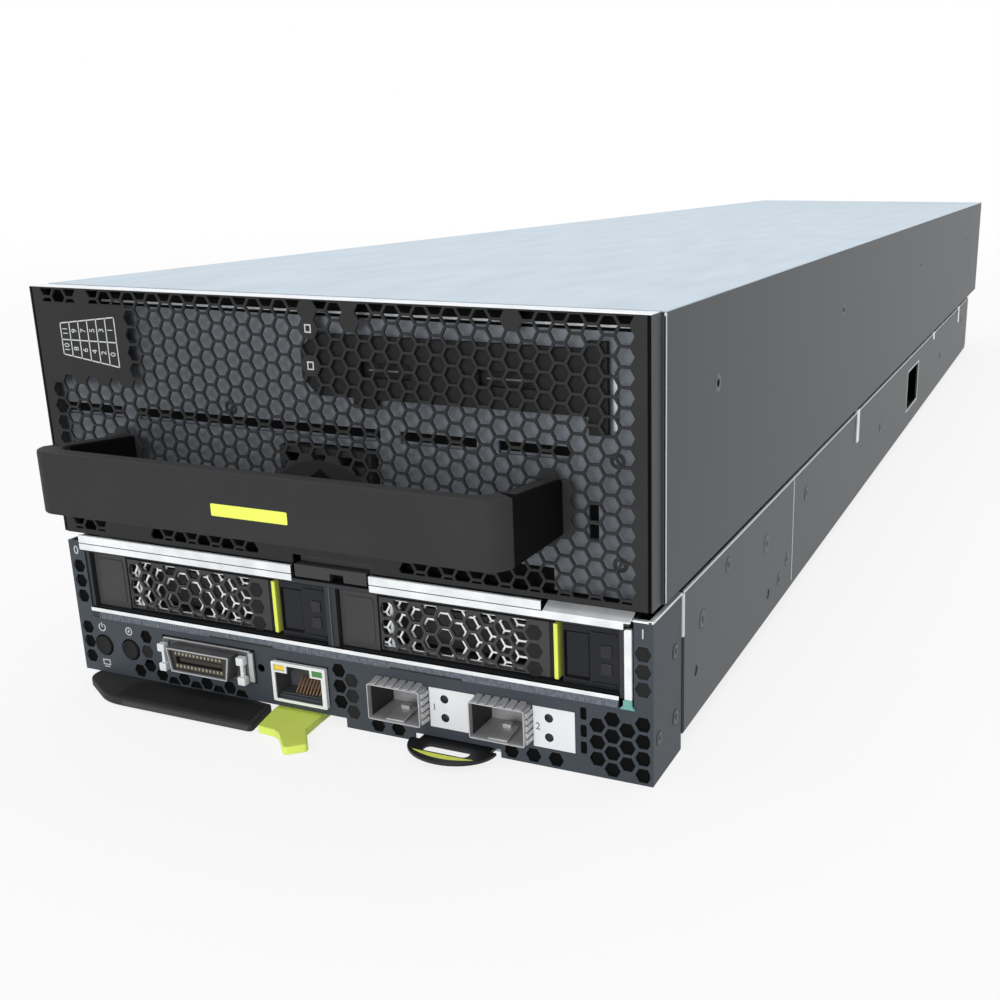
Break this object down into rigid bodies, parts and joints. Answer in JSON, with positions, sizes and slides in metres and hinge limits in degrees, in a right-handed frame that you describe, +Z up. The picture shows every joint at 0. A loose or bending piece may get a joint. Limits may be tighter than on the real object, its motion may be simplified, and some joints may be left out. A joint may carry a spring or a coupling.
{
  "type": "server node",
  "caption": "Long low server node: a pull-out drive drawer with a hexagon grille and bar handle over a thin compute tray with front ports and drive carriers.",
  "frame": {"origin": "centre of the bounding box footprint, on the surface that the node stands on", "axes": "+X to the right seen from the front, +Y from the front to the back, +Z up"},
  "size_m": [0.1736, 0.7524, 0.1102],
  "materials": {
    "galvanised": "bright galvanised",
    "side_steel": "dull galvanised",
    "charcoal_paint": "fine matt",
    "slate_paint": "satin",
    "black_plastic": "satin",
    "grey_plastic": "matt",
    "lime_plastic": "satin",
    "pale_plastic": "satin",
    "teal_plastic": "satin",
    "connector_metal": "plated",
    "board": "laminate",
    "cast_aluminium": "cast"
  },
  "bodies": {
    "chassis": {"base_tray": "side_steel", "front_panel": "slate_paint", "bay_frame": "galvanised", "chassis_lid": "galvanised", "lid_hooks": "galvanised", "slide_outer": "galvanised", "main_board": "board", "board_standoffs": "galvanised", "processors": "cast_aluminium", "heat_sinks": "cast_aluminium", "memory_sockets": "black_plastic", "memory_modules": "board", "io_board": "board", "nic_board": "board", "button_board": "board", "kvm_connector": "connector_metal", "kvm_tongue": "black_plastic", "mgmt_jack": "connector_metal", "sfp_cage_0": "galvanised", "sfp_cage_1": "galvanised", "port_plate": "pale_plastic", "bay_backplane": "board", "power_connector": "black_plastic", "signal_connector": "black_plastic", "guide_sockets": "galvanised", "bay_clip": "teal_plastic", "eject_pins": "galvanised", "card_guide": "galvanised"},
    "slide_middle": {"slide_middle": "galvanised"},
    "drawer": {"drawer_bezel": "charcoal_paint", "top_rail": "galvanised", "drawer_tray": "side_steel", "drawer_cover": "galvanised", "pull_handle": "black_plastic", "handle_inlay": "lime_plastic", "latch_housing": "black_plastic", "hard_drives": "cast_aluminium", "drive_frame": "slate_paint", "drawer_backplane": "board", "indicator_plate": "black_plastic", "slide_inner": "galvanised"},
    "drawer_latch": {"drawer_latch": "black_plastic"},
    "power_button": {"power_button": "grey_plastic"},
    "locate_button": {"locate_button": "grey_plastic"},
    "ejector_lever": {"ejector_lever": "black_plastic"},
    "ejector_latch": {"ejector_latch": "lime_plastic"},
    "label_card": {"label_card": "black_plastic"},
    "carrier_0": {"carrier_0": "grey_plastic", "carrier_drive_0": "cast_aluminium", "lever_pin_0": "galvanised"},
    "lever_0": {"carrier_lever_0": "grey_plastic", "lever_stripe_0": "lime_plastic"},
    "release_button_0": {"release_button_0": "grey_plastic"},
    "carrier_1": {"carrier_1": "grey_plastic", "carrier_drive_1": "cast_aluminium", "lever_pin_1": "galvanised"},
    "lever_1": {"carrier_lever_1": "grey_plastic", "lever_stripe_1": "lime_plastic"},
    "release_button_1": {"release_button_1": "grey_plastic"}
  },
  "joints": [
    {"name": "drawer_slide", "type": "slide", "parent": "chassis", "child": "drawer", "axis": [0, -1, 0], "range_m": [0, 0.6]},
    {"name": "middle_slide", "type": "slide", "parent": "chassis", "child": "slide_middle", "axis": [0, -1, 0], "range_m": [0, 0.3]},
    {"name": "latch_lift", "type": "slide", "parent": "drawer", "child": "drawer_latch", "axis": [0, 0, 1], "range_m": [0, 0.002], "stiffness_N_per_m": 400, "springref_m": -0.002},
    {"name": "power_press", "type": "slide", "parent": "chassis", "child": "power_button", "axis": [0, 1, 0], "range_m": [0, 0.0008], "stiffness_N_per_m": 900, "springref_m": -0.0005},
    {"name": "locate_press", "type": "slide", "parent": "chassis", "child": "locate_button", "axis": [0, 1, 0], "range_m": [0, 0.0008], "stiffness_N_per_m": 900, "springref_m": -0.0005},
    {"name": "ejector_swing", "type": "hinge", "parent": "chassis", "child": "ejector_lever", "pos_m": [-0.074, -0.34175, 0.00145], "axis": [0, 0, -1], "range_deg": [0, 75]},
    {"name": "ejector_latch_turn", "type": "hinge", "parent": "chassis", "child": "ejector_latch", "pos_m": [-0.0145, -0.34355, 0.00145], "axis": [0, 0, 1], "range_deg": [0, 20], "stiffness_Nm_per_rad": 0.05, "springref_deg": -2.86},
    {"name": "card_pull", "type": "slide", "parent": "chassis", "child": "label_card", "axis": [0, -1, 0], "range_m": [0, 0.045]},
    {"name": "carrier_0_slide", "type": "slide", "parent": "chassis", "child": "carrier_0", "axis": [0, -1, 0], "range_m": [0, 0.118]},
    {"name": "lever_0_swing", "type": "hinge", "parent": "carrier_0", "child": "lever_0", "pos_m": [-0.0649, -0.34375, 0.0301], "axis": [0, 0, -1], "range_deg": [0, 60]},
    {"name": "release_0_press", "type": "slide", "parent": "carrier_0", "child": "release_button_0", "axis": [0, 1, 0], "range_m": [0, 0.0015], "stiffness_N_per_m": 600, "springref_m": -0.0008},
    {"name": "carrier_1_slide", "type": "slide", "parent": "chassis", "child": "carrier_1", "axis": [0, -1, 0], "range_m": [0, 0.118]},
    {"name": "lever_1_swing", "type": "hinge", "parent": "carrier_1", "child": "lever_1", "pos_m": [0.0152, -0.34375, 0.0301], "axis": [0, 0, -1], "range_deg": [0, 60]},
    {"name": "release_1_press", "type": "slide", "parent": "carrier_1", "child": "release_button_1", "axis": [0, 1, 0], "range_m": [0, 0.0015], "stiffness_N_per_m": 600, "springref_m": -0.0008}
  ],
  "couplings": [
    {"joint": "middle_slide", "follows": "drawer_slide", "ratio": 0.5}
  ]
}
